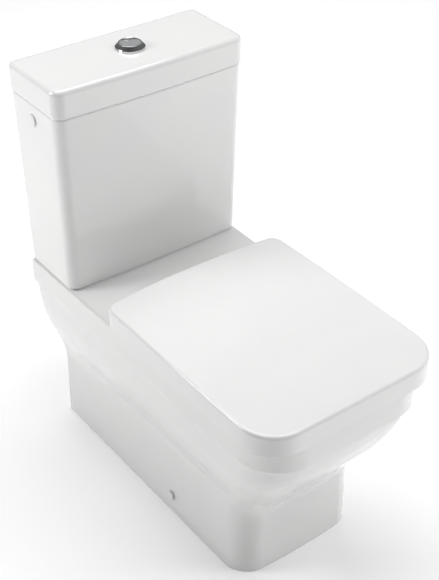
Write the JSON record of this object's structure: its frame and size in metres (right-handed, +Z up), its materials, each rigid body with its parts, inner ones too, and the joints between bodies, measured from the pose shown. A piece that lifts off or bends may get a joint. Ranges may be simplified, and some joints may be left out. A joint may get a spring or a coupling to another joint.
{
  "type": "close coupled toilet",
  "caption": "Close-coupled back-to-wall toilet: shrouded ceramic pan, ceramic cistern with dual-flush button, hinged seat ring and wrap-over cover.",
  "frame": {"origin": "on the floor at the wall line, in the middle of the width (back edge of the pan's foot)", "axes": "+Z up, the bowl faces -Y, +X to the right of a viewer who faces the bowl"},
  "size_m": [0.4054, 0.7068, 0.8085],
  "materials": {
    "sanitary_ceramic": "glossy",
    "white_duroplast": "glossy",
    "chrome_plate": "polished",
    "white_cap_plastic": "glossy",
    "white_valve_plastic": "satin",
    "grey_valve_plastic": "satin",
    "blue_valve_plastic": "satin",
    "black_rubber": "matte",
    "grey_rubber": "matte",
    "brass_metal": "satin",
    "stainless_steel": "brushed"
  },
  "bodies": {
    "pan_and_cistern": {"pan": "sanitary_ceramic", "pan_bowl": "sanitary_ceramic", "pan_trapway": "sanitary_ceramic", "pan_flush_duct": "sanitary_ceramic", "cistern_tank": "sanitary_ceramic", "blanking_cap": "white_cap_plastic", "fill_valve_body": "white_valve_plastic", "fill_valve_washer": "black_rubber", "fill_valve_nut": "white_valve_plastic", "flush_valve_body": "white_valve_plastic", "flush_valve_washer": "black_rubber", "flush_valve_nut": "grey_valve_plastic", "coupling_gasket": "black_rubber", "coupling_bolts": "stainless_steel", "coupling_rubber_washers": "black_rubber", "coupling_metal_washers": "stainless_steel", "coupling_wing_nuts": "brass_metal", "hinge_posts": "stainless_steel", "hinge_pins": "stainless_steel", "hinge_bolts": "stainless_steel", "hinge_rubber_washers": "black_rubber", "hinge_wing_nuts": "white_valve_plastic", "floor_brackets": "white_valve_plastic", "side_screws": "stainless_steel", "side_cover_caps": "white_cap_plastic"},
    "lid": {"cistern_lid": "sanitary_ceramic", "button_bezel": "chrome_plate", "bezel_nut": "grey_valve_plastic", "full_flush_spring": "stainless_steel", "half_flush_spring": "stainless_steel"},
    "full_button": {"full_flush_button": "chrome_plate", "full_flush_rod": "grey_valve_plastic"},
    "half_button": {"half_flush_button": "chrome_plate", "half_flush_rod": "grey_valve_plastic"},
    "flush_lift": {"overflow_tube": "grey_valve_plastic", "flush_disc_seal": "black_rubber"},
    "flush_lever": {"full_flush_lever": "blue_valve_plastic"},
    "flush_latch": {"half_flush_latch": "blue_valve_plastic"},
    "float_cup": {"fill_valve_float": "grey_valve_plastic"},
    "ring": {"seat_ring": "white_duroplast", "ring_buffers": "grey_rubber", "hinge_dampers": "grey_valve_plastic"},
    "cover": {"seat_cover": "white_duroplast", "cover_buffers": "grey_rubber"}
  },
  "joints": [
    {"name": "seat_ring_hinge", "type": "hinge", "parent": "pan_and_cistern", "child": "ring", "pos_m": [0, -0.268, 0.422], "axis": [-1, 0, 0], "range_deg": [0, 95]},
    {"name": "seat_cover_hinge", "type": "hinge", "parent": "ring", "child": "cover", "pos_m": [0, -0.268, 0.422], "axis": [1, 0, 0], "range_deg": [-95, 0]},
    {"name": "cistern_lid_lift", "type": "slide", "parent": "pan_and_cistern", "child": "lid", "axis": [0, 0, 1], "range_m": [0, 0.14]},
    {"name": "full_flush_press", "type": "slide", "parent": "lid", "child": "full_button", "axis": [0, 0, -1], "range_m": [0, 0.006], "stiffness_N_per_m": 1000, "springref_m": -0.01, "deforming": ["full_flush_spring"]},
    {"name": "half_flush_press", "type": "slide", "parent": "lid", "child": "half_button", "axis": [0, 0, -1], "range_m": [0, 0.006], "stiffness_N_per_m": 1000, "springref_m": -0.01, "deforming": ["half_flush_spring"]},
    {"name": "overflow_lift", "type": "slide", "parent": "pan_and_cistern", "child": "flush_lift", "axis": [0, 0, 1], "range_m": [0, 0.012]},
    {"name": "full_flush_rocker", "type": "hinge", "parent": "pan_and_cistern", "child": "flush_lever", "pos_m": [-0.024, -0.072, 0.664], "axis": [0, -1, 0], "range_deg": [0, 25]},
    {"name": "half_flush_tip", "type": "hinge", "parent": "pan_and_cistern", "child": "flush_latch", "pos_m": [0.024, -0.072, 0.664], "axis": [0, 1, 0], "range_deg": [0, 25]},
    {"name": "float_rise", "type": "slide", "parent": "pan_and_cistern", "child": "float_cup", "axis": [0, 0, 1], "range_m": [0, 0.06]}
  ],
  "couplings": [
    {"joint": "overflow_lift", "follows": "full_flush_press", "ratio": 2},
    {"joint": "full_flush_rocker", "follows": "full_flush_press", "rad_per_m": 71.43},
    {"joint": "half_flush_tip", "follows": "half_flush_press", "rad_per_m": 71.43}
  ]
}
